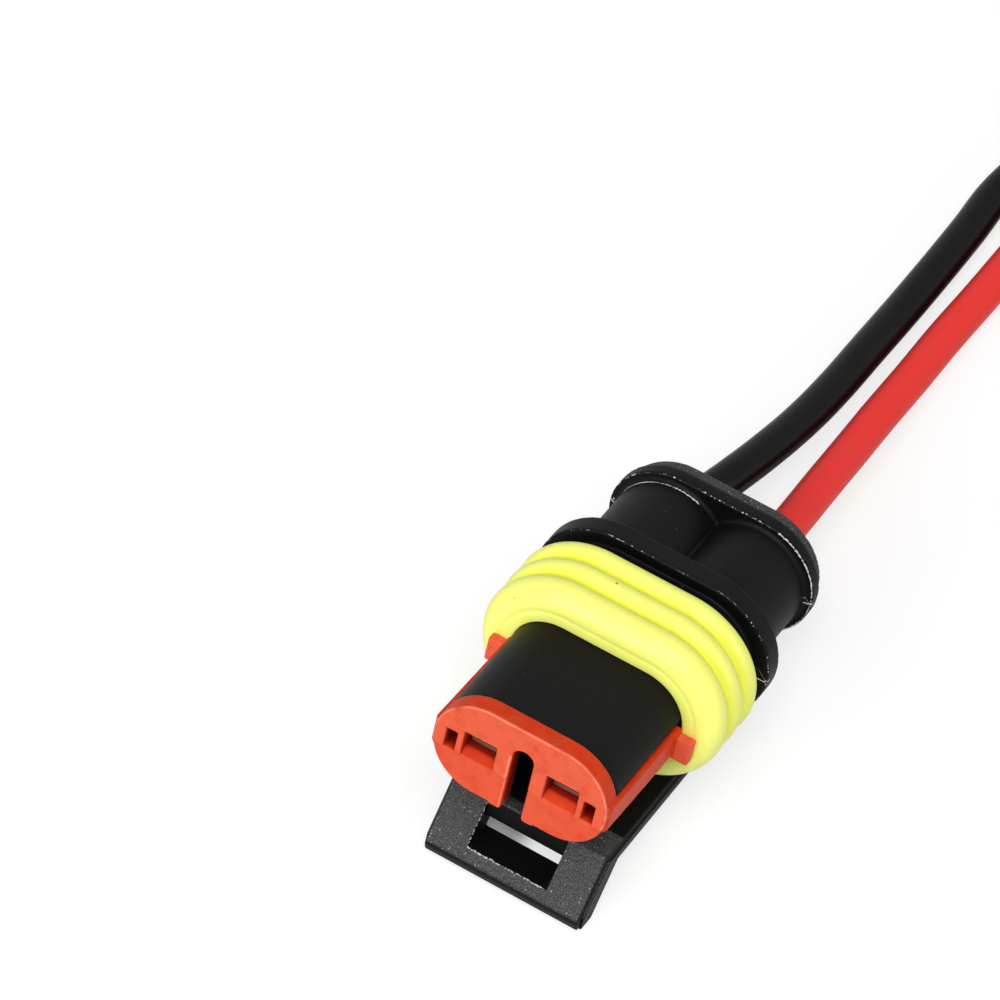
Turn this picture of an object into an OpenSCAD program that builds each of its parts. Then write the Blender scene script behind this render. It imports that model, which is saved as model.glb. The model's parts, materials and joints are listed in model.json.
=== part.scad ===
// Two-way sealed plug of an automotive wiring connector, on its pair of leads.
// Every piece is drawn about the plug's own axis: +X to the right seen from the mating end,
// +Y from the mating end to the leads, +Z away from the latch. seated() then lays the plug
// down on its latch, nose up, as it comes to rest on a table. The leads are drawn where they lie.

/* [Housing] */
// Half the straight run of the oval sections
oval_half = 3.05; // [2.9:0.05:3.2]
// Rounding radius of the tower that carries the contacts
tower_r = 3.25; // [3.15:0.05:3.4]
// Front of the tower, just behind the lock plate
tower_y = 1.45; // [1.45:0.05:1.6]
// Rounding radius of the shoulder that the interface seal stops against
shoulder_r = 4.4; // [4.2:0.05:4.7]
// Front of the shoulder
shoulder_y = 16.6; // [16.55:0.05:16.8]
// Half the straight run of the flange
flange_half = 3.37; // [3.2:0.05:3.5]
// Rounding radius of the flange
flange_r = 5.3; // [5.1:0.05:5.5]
// Front face of the flange
flange_y = 17.53; // [17.4:0.05:17.7]
// Back face of the flange
flange_back_y = 19.05; // [18.8:0.05:19.3]
// Radius of the two barrels behind the flange
barrel_r = 4.0; // [3.8:0.05:4.2]
// Rounding radius of the rear rim
rim_r = 4.6; // [4.4:0.05:4.8]
// Front face of the rear rim
rim_y = 25.81; // [25.5:0.05:26]
// Where the rim steps in to its rear band
rim_step_y = 26.8; // [26.6:0.05:27]
// Rear end of the housing
rear_y = 27.65; // [27.4:0.05:27.9]
// Radius of the round bores that hold the wire seals
bore_r = 2.15; // [2.13:0.01:2.25]
// Where the round bores start
bore_y = 9.9; // [9.8:0.05:10]

/* [Contacts] */
// Distance between the two contacts
pitch = 6.0; // [5.8:0.05:6.2]
// Width of a contact's box
contact_w = 2.2; // [2.1:0.05:2.3]
// Height of a contact's box
contact_h = 1.6; // [1.5:0.05:1.7]
// Height of the contact's middle above the plug's axis
contact_z = 0.3; // [0.2:0.05:0.4]
// Thickness of the contact's metal
contact_wall = 0.3; // [0.25:0.05:0.35]

/* [Polarising rib] */
// Width of the hollow rib under the tower, which the key slot runs into
rib_w = 3.0; // [2.8:0.1:3.2]
// Lowest point of the rib
rib_z = -4.1; // [-4.3:0.05:-3.9]
// Rear end of the rib
rib_end_y = 9.0; // [8.5:0.1:9.5]

/* [Secondary lock] */
// Thickness of the lock's front plate
lock_t = 1.4; // [1.3:0.05:1.4]
// Half the straight run of the lock plate
lock_half = 2.6; // [2.5:0.05:2.7]
// Rounding radius of the lock plate
lock_r = 3.7; // [3.6:0.05:3.75]
// Width of the two contact openings
opening_w = 2.38; // [2.3:0.02:2.5]
// Lowest point of the contact openings
opening_low = -0.57; // [-0.6:0.01:-0.5]
// Highest point of the contact openings
opening_high = 1.2; // [1.1:0.05:1.3]
// Half the width of the key slot
key_half = 0.75; // [0.7:0.01:0.8]
// Top of the key slot
key_top = 2.0; // [1.8:0.1:2.2]
// Outer face of the lock's side arms
arm_x = 6.42; // [6.35:0.01:6.5]
// Rear end of the lock's side arms
arm_end_y = 9.95; // [9.8:0.01:9.95]
// How far out the hooks reach
hook_x = 7.54; // [7.3:0.02:7.6]

/* [Interface seal] */
// Front face of the seal
seal_y = 10.0; // [10:0.05:10.1]
// Rear face of the seal
seal_end_y = 16.5; // [16.3:0.05:16.5]
// Radius at the top of its three ridges
crest_r = 5.8; // [5.6:0.05:5.9]
// Rounding radius of each ridge
ridge_r = 1.09; // [1.05:0.01:1.12]
// Radius of its flat front face
seal_front_r = 4.6; // [4.4:0.05:4.8]
// Distance from ridge to ridge
crest_pitch = 1.95; // [1.9:0.01:2]

/* [Latch] */
// Half the latch's width
latch_half = 5.9; // [5.7:0.05:6]
// Top of the latch arm
latch_top = -7.4; // [-7.5:0.05:-7.3]
// Underside of the latch arm
latch_low = -8.7; // [-8.8:0.05:-8.6]
// Top edge of the sloping front plate
latch_y = 4.2; // [4.1:0.05:4.3]
// Lowest point of the front plate
lip_z = -12.45; // [-12.6:0.05:-12.3]
// Half the width of the window that the mating wedge snaps into
window_half = 2.95; // [2.8:0.05:3.1]
// Rear end of the long opening in the arm
slot_end_y = 14.4; // [14:0.1:15]
// Where the arm bends when it is pressed
pivot_y = 17.05; // [17:0.01:17.05]

/* [Leads] */
// Outer diameter of a lead
lead_d = 2.6; // [2.4:0.05:2.6]
// Diameter of the bare conductor
core_d = 1.2; // [1.1:0.02:1.2]
// Length of the stripped end
tail_length = 7.0; // [5:0.5:9]

/* [Hidden] */
$fn = 64;
LEFT = -pitch / 2;
RIGHT = pitch / 2;
eps = 0.01;
lead_r = lead_d / 2;

// The sloping front plate of the latch, seen from the side
lip_front = [1.7, -11.5];
lip_toe = [2.05, lip_z];
lip_heel = [3.7, lip_z];
rail_back_y = 5.9;
window_low = -10.6;
crossbar_y = 4.15;
crossbar_back_y = 5.8;
crossbar_low = -9.1;
slot_half = 2.9;

// The foot of the latch, where it grows out of the flange
root_top = -4.5;
root_front_y = pivot_y + 0.1;

// Lock arms and the grooves in the tower that they slide in
arm_in = 5.9;
arm_gap = 0.05;
arm_y = 0.1;
arm_front_low = -1.05;
arm_front_top = 1.0;
arm_rear_top = 0.5;
arm_low = -1.55;
hook_y = 9.25;
hook_low = -1.75;
hook_high = 0.15;
side_slot = [4.61, 5.44, -0.96, 0.76];
bosses = [[1.25, 4.5, -1.1, 1.5], [4.4, 5.8, -1.2, 0.95]];
boss_end_y = 2.25;
boss_gap = 0.08;
key_end_y = 7.5;
key_low = -3.7;
tab_half = 1.65;
tab_low = -3.7;
lead_in = 0.5;

// The lock plate's outline changes at a step below the contact openings
plate_z = 0.1;
plate_step_z = -0.95;
plate_low_z = -0.2;
plate_low_half = 2.9;
plate_low_r = 3.4;

// How far the rim's rear band and the seal's rear face step in
rim_band_in = 0.08;
seal_back_r = seal_front_r + 0.3;

// Cavities, contacts and crimps along the plug's axis
cavity_w = 2.6;
cavity_low = -0.75;
cavity_high = 1.35;
box_y = 1.3;
box_end_y = 8.0;
core_y = 10.3;
core_crimp = [10.1, 13.2, 1.0];
wire_crimp = [13.7, 16.2, 1.6];
lead_y = 13.8;
step_half = 0.5;
step_low = 0.1 - wire_crimp[2];
step_high = -0.7;
strip_half = 0.9;
strip_lap = 1.0;
wire_seal_y = [18.8, 24.4];
wire_seal_neck_r = 1.85;
wire_seal_rib_r = 2.12;
wire_rib_pitch = 1.8;

// How the plug lies: it stands on the heel of its latch lip and on the latch's foot
seat_tilt = atan2(latch_low - lip_z, flange_back_y - lip_heel.x);
function tilted(p) = [p.x, p.y * cos(seat_tilt) + p.z * sin(seat_tilt),
    p.z * cos(seat_tilt) - p.y * sin(seat_tilt)];
seat_middle = 13.267;
seat_shift = [0, -seat_middle, -tilted([0, lip_heel.x, lip_heel.y]).z];
function seated_point(p) = tilted(p) + seat_shift;

// Routes of the two leads past the housing, as they lie on the table
lead_z = 1.32;
lead_start = tilted([0, 1, 0]);
lead_finish = [0, -1, 0];
black_route = concat([seated_point([LEFT, rear_y, 0])], [
    [-2.9, 14.9, 6.2], [-2.6, 16.6, 5.95], [-2.15, 18.5, 5.65], [-1.45, 22, 5], [-0.85, 26, 4.25],
    [-0.5, 30, 3.6], [-0.3, 34.5, 3], [-0.1, 39, 2.4], [0.1, 43.5, 2], [0.25, 48, 1.65],
    [0.4, 53, 1.4], [1.8, 59, lead_z], [3.4, 64.8, lead_z], [7.6, 69, lead_z], [13.4, 70.6, lead_z],
    [19.2, 69, lead_z], [23.4, 64.8, lead_z], [25, 59, lead_z], [25.2, 55, lead_z],
    [25.2, 51, lead_z]]);
red_route = concat([seated_point([RIGHT, rear_y, 0])], [
    [3, 14.9, 6.1], [3, 16.6, 5.75], [3, 18.5, 5.35], [3, 22, 4.65], [3.05, 26, 3.9],
    [3.1, 30, 3.2], [3.25, 34.5, 2.5], [3.4, 39, 2], [3.7, 43.5, 1.6], [4, 48, 1.4],
    [4.3, 53, lead_z], [5.2, 59, lead_z], [6.3, 63.1, lead_z], [9.3, 66.1, lead_z],
    [13.4, 67.2, lead_z], [17.5, 66.1, lead_z], [20.5, 63.1, lead_z], [21.6, 59, lead_z],
    [21.9, 54, lead_z], [22, 49, lead_z], [22, 43.5, lead_z], [22, 38, lead_z]]);

// Lays a piece drawn about the plug's axis down on the table
module seated() {
    translate(seat_shift) rotate([-seat_tilt, 0, 0]) children();
}

// A slab of an outline drawn in X and Z, from one depth to another
module slab(y0, y1) {
    translate([0, y1, 0]) rotate([90, 0, 0]) linear_extrude(y1 - y0) children();
}

// A shape drawn in Y and Z, stretched across X
module across(x0, x1) {
    translate([x0, 0, 0]) rotate([90, 0, 90]) linear_extrude(x1 - x0) children();
}

// A block between two corners
module block(low, high) {
    translate(low) cube(high - low);
}

// A round bar along the plug's axis
module bar(x, y0, y1, r) {
    translate([x, y0, 0]) rotate([-90, 0, 0]) cylinder(h = y1 - y0, r = r);
}

module oval(half, r) {
    square([2 * half, 2 * r], center = true);
    for (x = [-half, half]) translate([x, 0]) circle(r);
}

// The moulded body: tower, shoulder, flange, two barrels, rim and the foot of the latch
module housing_solid() {
    slab(tower_y, flange_back_y) oval(oval_half, tower_r);
    slab(shoulder_y, flange_back_y) oval(oval_half, shoulder_r);
    slab(flange_y, flange_back_y) oval(flange_half, flange_r);
    for (x = [-oval_half, oval_half]) bar(x, flange_y, rear_y, barrel_r);
    slab(rim_y, rim_step_y) oval(oval_half, rim_r);
    slab(rim_step_y, rear_y) oval(oval_half, rim_r - rim_band_in);
    block([-rib_w / 2, tower_y, rib_z], [rib_w / 2, rib_end_y, -tower_r / 2]);
    block([-latch_half, flange_y, latch_low], [latch_half, flange_back_y, root_top]);
    block([-latch_half, root_front_y, latch_low], [latch_half, flange_back_y, latch_top]);
}

module contact_cavity(x) {
    block([x - cavity_w / 2, tower_y - 1, cavity_low], [x + cavity_w / 2, bore_y + eps, cavity_high]);
    bar(x, bore_y, rear_y + 1, bore_r);
}

module arm_groove() {
    block([arm_in - arm_gap, tower_y - 1, arm_low - arm_gap],
        [flange_half + flange_r, seal_y, arm_front_top + arm_gap]);
}

module housing() {
    color("#232420") seated() difference() {
        housing_solid();
        contact_cavity(LEFT);
        contact_cavity(RIGHT);
        for (side = [0, 1]) mirror([side, 0, 0]) {
            arm_groove();
            for (b = bosses) block([b[0] - boss_gap, tower_y - 1, b[2] - boss_gap],
                [b[1] + boss_gap, boss_end_y + boss_gap, b[3] + boss_gap]);
        }
        block([-key_half, tower_y - 1, key_low], [key_half, key_end_y, key_top]);
    }
}

// The latch: a flat arm with a long opening, and a sloping front plate with a window
module latch() {
    color("#38383a") seated() difference() {
        across(-latch_half, latch_half) polygon([[latch_y, latch_top], lip_front, lip_toe, lip_heel,
            [rail_back_y, latch_low], [pivot_y, latch_low], [pivot_y, latch_top]]);
        block([-window_half, 0, window_low], [window_half, rail_back_y + 1, crossbar_low]);
        block([-window_half, 0, window_low], [window_half, crossbar_y, latch_top + 1]);
        block([-slot_half, crossbar_back_y, latch_low - 1], [slot_half, slot_end_y, latch_top + 1]);
    }
}

// Section of the interface seal, as radius and depth
ridge_edge = 57;
front_edge = -45;
ridge_steps = 7;
crest_y = seal_y + 1.4;
function ridge(y, start) = [for (i = [0:ridge_steps])
    let (a = start + (ridge_edge - start) * i / ridge_steps)
        [crest_r - ridge_r + ridge_r * cos(a), y + ridge_r * sin(a)]];
seal_section = concat([[tower_r, seal_y], [seal_front_r, seal_y]], ridge(crest_y, front_edge),
    ridge(crest_y + crest_pitch, -ridge_edge), ridge(crest_y + 2 * crest_pitch, -ridge_edge),
    [[seal_back_r, seal_end_y], [tower_r, seal_end_y]]);

// A closed band of the seal's section around the oval tower
module seal_band() {
    for (side = [-1, 1]) translate([side * oval_half, 0, 0]) rotate([0, 0, -90 * side])
        rotate_extrude(angle = 180) polygon(seal_section);
    for (side = [0, 1]) mirror([0, side, 0]) across(-oval_half, oval_half) polygon(seal_section);
}

module interface_seal() {
    color("#f2ee5c") seated() rotate([-90, 0, 0]) seal_band();
}

module lock_plate_outline() {
    difference() {
        union() {
            difference() {
                translate([0, plate_z]) oval(lock_half, lock_r);
                translate([-arm_x, plate_step_z - 2 * lock_r]) square([2 * arm_x, 2 * lock_r]);
            }
            difference() {
                translate([0, plate_low_z]) oval(plate_low_half, plate_low_r);
                translate([-arm_x, plate_step_z + eps]) square([2 * arm_x, 2 * lock_r]);
            }
            translate([-tab_half, tab_low]) square([2 * tab_half, -tab_low]);
        }
        translate([-key_half, tab_low - 1]) square([2 * key_half, key_top - key_half - tab_low + 1]);
        translate([0, key_top - key_half]) circle(key_half);
    }
}

// A contact opening with the sloping lead-in under it
module contact_opening(x) {
    block([x - opening_w / 2, -1, opening_low], [x + opening_w / 2, boss_end_y + 1, opening_high]);
    across(x - opening_w / 2, x + opening_w / 2)
        polygon([[-eps, opening_low - lead_in], [-eps, opening_low + lead_in],
            [2 * lead_in, opening_low + eps]]);
}

module lock_arm() {
    across(arm_in, arm_x) polygon([[arm_y, arm_front_low], [arm_y, arm_front_top],
        [arm_end_y, arm_rear_top], [arm_end_y, arm_low]]);
    block([arm_in, hook_y, hook_low], [hook_x, arm_end_y, hook_high]);
}

module secondary_lock() {
    color("#e8562f") seated() {
        difference() {
            union() {
                slab(0, lock_t) lock_plate_outline();
                for (side = [0, 1], b = bosses) mirror([side, 0, 0])
                    block([b[0], lock_t - eps, b[2]], [b[1], boss_end_y, b[3]]);
            }
            for (side = [0, 1]) mirror([side, 0, 0])
                block([side_slot[0], -1, side_slot[2]], [side_slot[1], boss_end_y + 1, side_slot[3]]);
            contact_opening(LEFT);
            contact_opening(RIGHT);
        }
        lock_arm();
        mirror([1, 0, 0]) lock_arm();
    }
}

// A stamped contact: a box for the mating blade, a strip, and two crimps around its wire
module contact(x) {
    color("#c9c4b4") seated() translate([x, 0, 0]) {
        difference() {
            block([-contact_w / 2, box_y, contact_z - contact_h / 2],
                [contact_w / 2, box_end_y, contact_z + contact_h / 2]);
            block([-contact_w / 2 + contact_wall, 0, contact_z - contact_h / 2 + contact_wall],
                [contact_w / 2 - contact_wall, rear_y, contact_z + contact_h / 2 - contact_wall]);
        }
        block([-strip_half, box_end_y - strip_lap, contact_z - contact_h / 2],
            [strip_half, core_y, contact_z - contact_h / 2 + contact_wall]);
        crimp(core_crimp, core_d / 2);
        block([-step_half, core_crimp[1] - strip_lap / 4, step_low], [step_half, lead_y, step_high]);
        crimp(wire_crimp, lead_r);
    }
}

module crimp(span, inner_r) {
    difference() {
        bar(0, span[0], span[1], span[2]);
        bar(0, span[0] - 1, span[1] + 1, inner_r);
    }
}

module contact_left() { contact(LEFT); }
module contact_right() { contact(RIGHT); }

// A small silicone seal on each lead, with three ribs against its bore
module wire_seal(x) {
    middle = (wire_seal_y[0] + wire_seal_y[1]) / 2;
    half_rib = wire_rib_pitch / 4;
    ribs = [for (i = [-1, 0, 1]) for (p = [[wire_seal_neck_r, -half_rib], [wire_seal_rib_r, 0],
        [wire_seal_neck_r, half_rib]]) [p.x, middle + i * wire_rib_pitch + p.y]];
    color("#d98f4e") seated() translate([x, 0, 0]) rotate([-90, 0, 0])
        rotate_extrude() polygon(concat([[lead_r, wire_seal_y[0]], [wire_seal_neck_r, wire_seal_y[0]]],
            ribs, [[wire_seal_neck_r, wire_seal_y[1]], [lead_r, wire_seal_y[1]]]));
}

module wire_seal_left() { wire_seal(LEFT); }
module wire_seal_right() { wire_seal(RIGHT); }

// The stretch of each lead inside the housing, and its stripped, crimped end
module lead_stub_left() { color("#141414") seated() bar(LEFT, lead_y, rear_y, lead_r); }
module lead_stub_right() { color("#d32f2a") seated() bar(RIGHT, lead_y, rear_y, lead_r); }
module core_left() { color("#c98a5a") seated() bar(LEFT, core_y, lead_y, core_d / 2); }
module core_right() { color("#c98a5a") seated() bar(RIGHT, core_y, lead_y, core_d / 2); }

// A round tube swept along a route, with its first and last faces square to the given directions
SIDES = 8;
function unit(v) = v / norm(v);
function heading(route, i, first, last) = i == 0 ? first
    : i == len(route) - 1 ? last
    : unit(unit(route[i] - route[i - 1]) + unit(route[i + 1] - route[i]));
function ring(p, t, r) = let (side = unit(cross(t, [0, 0, 1])), up = cross(side, t))
    [for (k = [0:SIDES - 1]) p + r * (cos(360 * k / SIDES) * side + sin(360 * k / SIDES) * up)];

module tube(route, r, first, last) {
    n = len(route);
    points = [for (i = [0:n - 1]) each ring(route[i], heading(route, i, first, last), r)];
    walls = [for (i = [0:n - 2], k = [0:SIDES - 1]) let (j = (k + 1) % SIDES)
        each [[i * SIDES + k, i * SIDES + j, (i + 1) * SIDES + j],
            [i * SIDES + k, (i + 1) * SIDES + j, (i + 1) * SIDES + k]]];
    start_face = [for (k = [SIDES - 1:-1:0]) k];
    end_face = [for (k = [0:SIDES - 1]) (n - 1) * SIDES + k];
    polyhedron(points, concat([start_face], walls, [end_face]));
}

module black_lead() { color("#141414") tube(black_route, lead_r, lead_start, lead_finish); }
module red_lead() { color("#d32f2a") tube(red_route, lead_r, lead_start, lead_finish); }

// The bare conductor at a lead's free end
module tail(route) {
    color("#c9b9a4") translate(route[len(route) - 1]) rotate([90, 0, 0])
        cylinder(h = tail_length, d = core_d);
}

module black_tail() { tail(black_route); }
module red_tail() { tail(red_route); }

housing();
latch();
interface_seal();
secondary_lock();
contact_left();
contact_right();
wire_seal_left();
wire_seal_right();
lead_stub_left();
lead_stub_right();
core_left();
core_right();
black_lead();
red_lead();
black_tail();
red_tail();
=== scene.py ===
# Sealed two-way automotive plug lying on its latch, with its pair of leads.
# The shapes are worked out in millimetres about the plug's own axis (+X right seen from the
# mating end, +Y towards the leads, +Z away from the latch) and are then laid on the table.
import json
import math

import bpy
import numpy as np
from mathutils import Matrix, Vector


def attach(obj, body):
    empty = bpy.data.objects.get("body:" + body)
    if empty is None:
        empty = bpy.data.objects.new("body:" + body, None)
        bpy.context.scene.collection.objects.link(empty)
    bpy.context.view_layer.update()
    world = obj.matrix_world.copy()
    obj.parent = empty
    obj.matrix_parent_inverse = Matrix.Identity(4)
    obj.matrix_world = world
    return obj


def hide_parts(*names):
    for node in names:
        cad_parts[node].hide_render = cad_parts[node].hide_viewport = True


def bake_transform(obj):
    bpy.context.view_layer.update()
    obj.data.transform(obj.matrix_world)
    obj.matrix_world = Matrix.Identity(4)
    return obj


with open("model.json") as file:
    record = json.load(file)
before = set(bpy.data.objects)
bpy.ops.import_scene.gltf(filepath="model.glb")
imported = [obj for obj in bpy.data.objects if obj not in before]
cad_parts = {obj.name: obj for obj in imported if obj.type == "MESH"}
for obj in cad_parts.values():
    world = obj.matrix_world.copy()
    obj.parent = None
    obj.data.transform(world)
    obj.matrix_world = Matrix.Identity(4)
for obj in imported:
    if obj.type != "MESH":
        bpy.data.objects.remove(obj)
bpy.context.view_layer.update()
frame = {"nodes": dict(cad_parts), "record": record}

# --- The lie of the plug ---------------------------------------------------------------------
# A slide mount sits on the mating end and points out along the plug's axis, so it says how
# the plug's own axes lie on the table. MM is one millimetre in the frame's metres, and SEAT
# takes a point from the plug's millimetres to its place in the frame.
MM = 0.001
mating_end = next(m for m in frame["record"]["mounts"] if m["name"] == "mating_end")
axis_y = -Vector(mating_end["axis"]).normalized()
axis_x = Vector((1, 0, 0))
SEAT = Matrix.Translation(Vector(mating_end["pos_m"])) @ Matrix(
    (axis_x, axis_y, axis_x.cross(axis_y))).transposed().to_4x4() @ Matrix.Scale(MM, 4)

# --- Camera ----------------------------------------------------------------------------------
# A long lens looks down on the plug's mating end from the right, a little rolled. Its place
# and its angles are told about the plug's own axes.
CAMERA_PLACE = Vector((86.84, -250.06, 267.74))
CAMERA_AZIMUTH = math.radians(20.285)
CAMERA_ELEVATION = math.radians(42.817)
CAMERA_ROLL = math.radians(13.731)
LENS_LENGTH = 216
SENSOR_WIDTH = 36

back = Vector((math.sin(CAMERA_AZIMUTH) * math.cos(CAMERA_ELEVATION),
               -math.cos(CAMERA_AZIMUTH) * math.cos(CAMERA_ELEVATION), math.sin(CAMERA_ELEVATION)))
level = Vector((math.cos(CAMERA_AZIMUTH), math.sin(CAMERA_AZIMUTH), 0))
upright = back.cross(level)
camera_x = level * math.cos(CAMERA_ROLL) + upright * math.sin(CAMERA_ROLL)
camera_y = upright * math.cos(CAMERA_ROLL) - level * math.sin(CAMERA_ROLL)
camera_data = bpy.data.cameras.new("camera")
camera_data.sensor_width = SENSOR_WIDTH
camera_data.lens = LENS_LENGTH
camera_data.clip_start = 0.01
camera = bpy.data.objects.new("camera", camera_data)
camera_turn = SEAT.to_quaternion().to_matrix() @ Matrix((camera_x, camera_y, back)).transposed()
camera.matrix_world = Matrix.Translation(SEAT @ CAMERA_PLACE) @ camera_turn.to_4x4()
bpy.context.scene.collection.objects.link(camera)
bpy.context.scene.camera = camera

# --- Leads -----------------------------------------------------------------------------------
# Two 18 gauge leads in extruded PVC, black on the left and red on the right. They leave the
# rim side by side, come down to the table in a shallow sag and turn back on themselves. Their
# far ends are stripped: nineteen tinned strands, twisted in three layers, reach out of each.
LEAD_D = 0.0026
REAR_Y = 27.65
PITCH = 6.0
CORE_R = 0.6
TAIL = 7.0
STRAND_R = CORE_R / 5
LAY_LENGTH = 14.0

# The routes are in the frame's millimetres, from close behind the rim to the stripped end.
BLACK_ROUTE = [(-2.9, 14.9, 6.2), (-2.6, 16.6, 5.95), (-2.15, 18.5, 5.65), (-1.45, 22, 5),
               (-0.85, 26, 4.25), (-0.5, 30, 3.6), (-0.3, 34.5, 3), (-0.1, 39, 2.4),
               (0.1, 43.5, 2), (0.25, 48, 1.65), (0.4, 53, 1.4), (1.8, 59, 1.32),
               (3.4, 64.8, 1.32), (7.6, 69, 1.32), (13.4, 70.6, 1.32), (19.2, 69, 1.32),
               (23.4, 64.8, 1.32), (25, 59, 1.32), (25.2, 55, 1.32), (25.2, 51, 1.32)]
RED_ROUTE = [(3, 14.9, 6.1), (3, 16.6, 5.75), (3, 18.5, 5.35), (3, 22, 4.65),
             (3.05, 26, 3.9), (3.1, 30, 3.2), (3.25, 34.5, 2.5), (3.4, 39, 2), (3.7, 43.5, 1.6),
             (4, 48, 1.4), (4.3, 53, 1.32), (5.2, 59, 1.32), (6.3, 63.1, 1.32),
             (9.3, 66.1, 1.32), (13.4, 67.2, 1.32), (17.5, 66.1, 1.32), (20.5, 63.1, 1.32),
             (21.6, 59, 1.32), (21.9, 54, 1.32), (22, 49, 1.32), (22, 43.5, 1.32),
             (22, 38, 1.32)]


def srgb(code):
    """A hex colour as linear red, green, blue and alpha."""
    parts = [int(code[i:i + 2], 16) / 255 for i in (1, 3, 5)]
    return [p / 12.92 if p <= 0.04045 else ((p + 0.055) / 1.055) ** 2.4 for p in parts] + [1.0]


def new_material(name):
    """An empty material with its Principled shader, and its node tree."""
    material = bpy.data.materials.new(name)
    material.use_nodes = True
    return material, material.node_tree, material.node_tree.nodes["Principled BSDF"]


def add_node(tree, kind, settings=None, inputs=None, output=0):
    """Adds a node and returns one of its outputs. Settings go on its properties. Inputs, by
    socket, are plain values or the outputs of other nodes."""
    node = tree.nodes.new(kind)
    for key, value in (settings or {}).items():
        setattr(node, key, value)
    for key, value in (inputs or {}).items():
        if isinstance(value, bpy.types.NodeSocket):
            tree.links.new(node.inputs[key], value)
        else:
            node.inputs[key].default_value = value
    return node.outputs[output]


def insulation(name, colour, roughness):
    """Extruded PVC: smooth and glossy, with an orange peel of about a third of a millimetre
    that softens its long highlights."""
    material, tree, shader = new_material(name)
    shader.inputs["Base Color"].default_value = srgb(colour)
    shader.inputs["Roughness"].default_value = roughness
    shader.inputs["IOR"].default_value = 1.53
    shader.inputs["Specular IOR Level"].default_value = 0.12
    place = add_node(tree, "ShaderNodeNewGeometry", output="Position")
    peel = add_node(tree, "ShaderNodeTexNoise",
                    inputs={"Vector": place, "Scale": 1 / (0.35 * MM), "Detail": 3})
    bump = add_node(tree, "ShaderNodeBump",
                    inputs={"Height": peel, "Strength": 0.25, "Distance": 0.02 * MM})
    tree.links.new(shader.inputs["Normal"], bump)
    return material


def metal(name, colour, roughness, streak):
    """Drawn or rolled metal, tin plated: a soft shine broken by fine marks. The real marks are
    a few hundredths of a millimetre wide, and are drawn coarser so that they show."""
    material, tree, shader = new_material(name)
    shader.inputs["Base Color"].default_value = srgb(colour)
    shader.inputs["Metallic"].default_value = 1.0
    shader.inputs["Roughness"].default_value = roughness
    place = add_node(tree, "ShaderNodeNewGeometry", output="Position")
    marks = add_node(tree, "ShaderNodeTexNoise",
                     inputs={"Vector": place, "Scale": 1 / streak, "Detail": 2})
    bump = add_node(tree, "ShaderNodeBump",
                    inputs={"Height": marks, "Strength": 0.3, "Distance": 0.01 * MM})
    tree.links.new(shader.inputs["Normal"], bump)
    return material


def dress(names, material):
    """Gives CAD nodes that are shown as they are a material."""
    for name in names:
        mesh = frame["nodes"][name].data
        mesh.materials.clear()
        mesh.materials.append(material)


def strands(name, end):
    """The bare conductor: strands wound round one straight strand, on from a lead's end."""
    points, quads = [], []
    sides, steps = 8, 24
    for layer, count in enumerate((1, 6, 12)):
        for k in range(count):
            base = len(points)
            for i in range(steps + 1):
                turn = 2 * math.pi * (k / count + i / steps * TAIL / LAY_LENGTH)
                cx = 2 * STRAND_R * layer * math.cos(turn)
                cz = 2 * STRAND_R * layer * math.sin(turn)
                for j in range(sides):
                    a = 2 * math.pi * j / sides
                    points.append((end[0] + cx + STRAND_R * math.cos(a), end[1] - TAIL * i / steps,
                                   end[2] + cz + STRAND_R * math.sin(a)))
            quads += [(base + i * sides + j, base + i * sides + (j + 1) % sides,
                       base + (i + 1) * sides + (j + 1) % sides, base + (i + 1) * sides + j)
                      for i in range(steps) for j in range(sides)]
            quads += [tuple(base + j for j in reversed(range(sides))),
                      tuple(base + steps * sides + j for j in range(sides))]
    mesh = bpy.data.meshes.new(name)
    mesh.from_pydata([[v * MM for v in p] for p in points], [], quads)
    mesh.shade_smooth()
    mesh.materials.append(tinned_copper)
    piece = bpy.data.objects.new(name, mesh)
    bpy.context.scene.collection.objects.link(piece)
    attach(piece, "housing")
    return piece


def lead(colour, side, route, material):
    """One free lead as a smooth curve from the rim, through its route, to the stripped end."""
    name = colour + "_wire"
    tail = strands(colour + "_strands", route[-1])
    start = SEAT @ Vector((side * PITCH / 2, REAR_Y, 0))
    points = [start] + [Vector(p) * MM for p in route]
    data = bpy.data.curves.new(name, "CURVE")
    data.dimensions = "3D"
    data.bevel_depth = LEAD_D / 2
    data.bevel_resolution = 10
    data.resolution_u = 10
    data.use_fill_caps = True
    spline = data.splines.new("BEZIER")
    spline.bezier_points.add(len(points) - 1)
    for knot, point in zip(spline.bezier_points, points):
        knot.co = point
        knot.handle_left_type = knot.handle_right_type = "AUTO"
    data.materials.append(material)
    piece = bpy.data.objects.new(name, data)
    bpy.context.scene.collection.objects.link(piece)
    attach(piece, "housing")
    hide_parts(colour + "_lead")
    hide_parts(colour + "_tail")


black_pvc = insulation("pvc_insulation_black", "#080707", 0.28)
red_pvc = insulation("pvc_insulation_red", "#ec3d38", 0.36)
tinned_copper = metal("copper_tinned_strand", "#c9bda8", 0.3, 0.1 * MM)
dress(["lead_stub_left"], black_pvc)
dress(["lead_stub_right"], red_pvc)
lead("black", -1, BLACK_ROUTE, black_pvc)
lead("red", 1, RED_ROUTE, red_pvc)

# --- Contacts --------------------------------------------------------------------------------
# Two receptacles stamped from brass strip, folded and tin plated, each crimped on the bare
# core of its lead. They are held in the tower, and only the front edges of their boxes show.
tinned_brass = metal("brass_tin_plated", "#b0a48c", 0.34, 0.15 * MM)
dress(["core_left", "core_right"], tinned_copper)
dress(["contact_left", "contact_right"], tinned_brass)

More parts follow.
